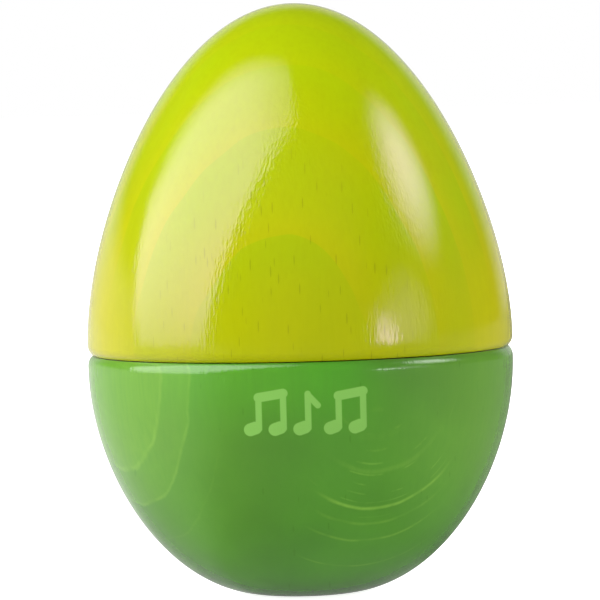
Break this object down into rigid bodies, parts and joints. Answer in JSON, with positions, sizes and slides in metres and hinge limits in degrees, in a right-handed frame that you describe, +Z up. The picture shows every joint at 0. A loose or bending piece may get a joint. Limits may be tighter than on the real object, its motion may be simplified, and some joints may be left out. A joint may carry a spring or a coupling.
{
  "type": "egg shaker",
  "caption": "Hand percussion shaker: a two-piece turned wooden egg, stained lime above and green below, with loose steel balls sealed in its chamber.",
  "frame": {"origin": "centre of the small flat foot at the egg's blunt end, on the surface that it stands on", "axes": "+Z up along the egg's long axis to its pointed tip, -Y the front with the printed motif, +X to the right seen from the front"},
  "size_m": [0.0448, 0.0446, 0.062],
  "materials": {
    "lime_stained_wood": "yellow-green stain under clear gloss lacquer, grain showing",
    "green_stained_wood": "leaf-green stain under clear gloss lacquer, grain showing, with a small pale printed motif",
    "steel_ball": "polished bearing steel"
  },
  "bodies": {
    "egg": {"upper_shell": "lime_stained_wood", "lower_shell": "green_stained_wood"},
    "ball_01": {"ball_01": "steel_ball"},
    "ball_02": {"ball_02": "steel_ball"},
    "ball_03": {"ball_03": "steel_ball"},
    "ball_04": {"ball_04": "steel_ball"},
    "ball_05": {"ball_05": "steel_ball"},
    "ball_06": {"ball_06": "steel_ball"},
    "ball_07": {"ball_07": "steel_ball"},
    "ball_08": {"ball_08": "steel_ball"},
    "ball_09": {"ball_09": "steel_ball"},
    "ball_10": {"ball_10": "steel_ball"},
    "ball_11": {"ball_11": "steel_ball"},
    "ball_12": {"ball_12": "steel_ball"},
    "ball_13": {"ball_13": "steel_ball"},
    "ball_14": {"ball_14": "steel_ball"},
    "ball_15": {"ball_15": "steel_ball"},
    "ball_16": {"ball_16": "steel_ball"},
    "ball_17": {"ball_17": "steel_ball"},
    "ball_18": {"ball_18": "steel_ball"},
    "ball_19": {"ball_19": "steel_ball"},
    "ball_20": {"ball_20": "steel_ball"},
    "ball_21": {"ball_21": "steel_ball"},
    "ball_22": {"ball_22": "steel_ball"},
    "ball_23": {"ball_23": "steel_ball"},
    "ball_24": {"ball_24": "steel_ball"},
    "ball_25": {"ball_25": "steel_ball"},
    "ball_26": {"ball_26": "steel_ball"},
    "ball_27": {"ball_27": "steel_ball"},
    "ball_28": {"ball_28": "steel_ball"}
  },
  "joints": [
    {"name": "ball_01_slide", "type": "slide", "parent": "egg", "child": "ball_01", "axis": [0, 0, 1], "range_m": [0, 0.04108]},
    {"name": "ball_02_slide", "type": "slide", "parent": "egg", "child": "ball_02", "axis": [0, 0, 1], "range_m": [0, 0.04108]},
    {"name": "ball_03_slide", "type": "slide", "parent": "egg", "child": "ball_03", "axis": [0, 0, 1], "range_m": [0, 0.04108]},
    {"name": "ball_04_slide", "type": "slide", "parent": "egg", "child": "ball_04", "axis": [0, 0, 1], "range_m": [0, 0.03923]},
    {"name": "ball_05_slide", "type": "slide", "parent": "egg", "child": "ball_05", "axis": [0, 0, 1], "range_m": [0, 0.03923]},
    {"name": "ball_06_slide", "type": "slide", "parent": "egg", "child": "ball_06", "axis": [0, 0, 1], "range_m": [0, 0.03923]},
    {"name": "ball_07_slide", "type": "slide", "parent": "egg", "child": "ball_07", "axis": [0, 0, 1], "range_m": [0, 0.03923]},
    {"name": "ball_08_slide", "type": "slide", "parent": "egg", "child": "ball_08", "axis": [0, 0, 1], "range_m": [0, 0.03923]},
    {"name": "ball_09_slide", "type": "slide", "parent": "egg", "child": "ball_09", "axis": [0, 0, 1], "range_m": [0, 0.03923]},
    {"name": "ball_10_slide", "type": "slide", "parent": "egg", "child": "ball_10", "axis": [0, 0, 1], "range_m": [0, 0.03923]},
    {"name": "ball_11_slide", "type": "slide", "parent": "egg", "child": "ball_11", "axis": [0, 0, 1], "range_m": [0, 0.03923]},
    {"name": "ball_12_slide", "type": "slide", "parent": "egg", "child": "ball_12", "axis": [0, 0, 1], "range_m": [0, 0.03923]},
    {"name": "ball_13_slide", "type": "slide", "parent": "egg", "child": "ball_13", "axis": [0, 0, 1], "range_m": [0, 0.03337]},
    {"name": "ball_14_slide", "type": "slide", "parent": "egg", "child": "ball_14", "axis": [0, 0, 1], "range_m": [0, 0.03337]},
    {"name": "ball_15_slide", "type": "slide", "parent": "egg", "child": "ball_15", "axis": [0, 0, 1], "range_m": [0, 0.03337]},
    {"name": "ball_16_slide", "type": "slide", "parent": "egg", "child": "ball_16", "axis": [0, 0, 1], "range_m": [0, 0.03337]},
    {"name": "ball_17_slide", "type": "slide", "parent": "egg", "child": "ball_17", "axis": [0, 0, 1], "range_m": [0, 0.03337]},
    {"name": "ball_18_slide", "type": "slide", "parent": "egg", "child": "ball_18", "axis": [0, 0, 1], "range_m": [0, 0.03337]},
    {"name": "ball_19_slide", "type": "slide", "parent": "egg", "child": "ball_19", "axis": [0, 0, 1], "range_m": [0, 0.03337]},
    {"name": "ball_20_slide", "type": "slide", "parent": "egg", "child": "ball_20", "axis": [0, 0, 1], "range_m": [0, 0.03337]},
    {"name": "ball_21_slide", "type": "slide", "parent": "egg", "child": "ball_21", "axis": [0, 0, 1], "range_m": [0, 0.03337]},
    {"name": "ball_22_slide", "type": "slide", "parent": "egg", "child": "ball_22", "axis": [0, 0, 1], "range_m": [0, 0.03337]},
    {"name": "ball_23_slide", "type": "slide", "parent": "egg", "child": "ball_23", "axis": [0, 0, 1], "range_m": [0, 0.03337]},
    {"name": "ball_24_slide", "type": "slide", "parent": "egg", "child": "ball_24", "axis": [0, 0, 1], "range_m": [0, 0.03337]},
    {"name": "ball_25_slide", "type": "slide", "parent": "egg", "child": "ball_25", "axis": [0, 0, 1], "range_m": [0, 0.03337]},
    {"name": "ball_26_slide", "type": "slide", "parent": "egg", "child": "ball_26", "axis": [0, 0, 1], "range_m": [0, 0.03337]},
    {"name": "ball_27_slide", "type": "slide", "parent": "egg", "child": "ball_27", "axis": [0, 0, 1], "range_m": [0, 0.03337]},
    {"name": "ball_28_slide", "type": "slide", "parent": "egg", "child": "ball_28", "axis": [0, 0, 1], "range_m": [0, 0.03337]}
  ]
}
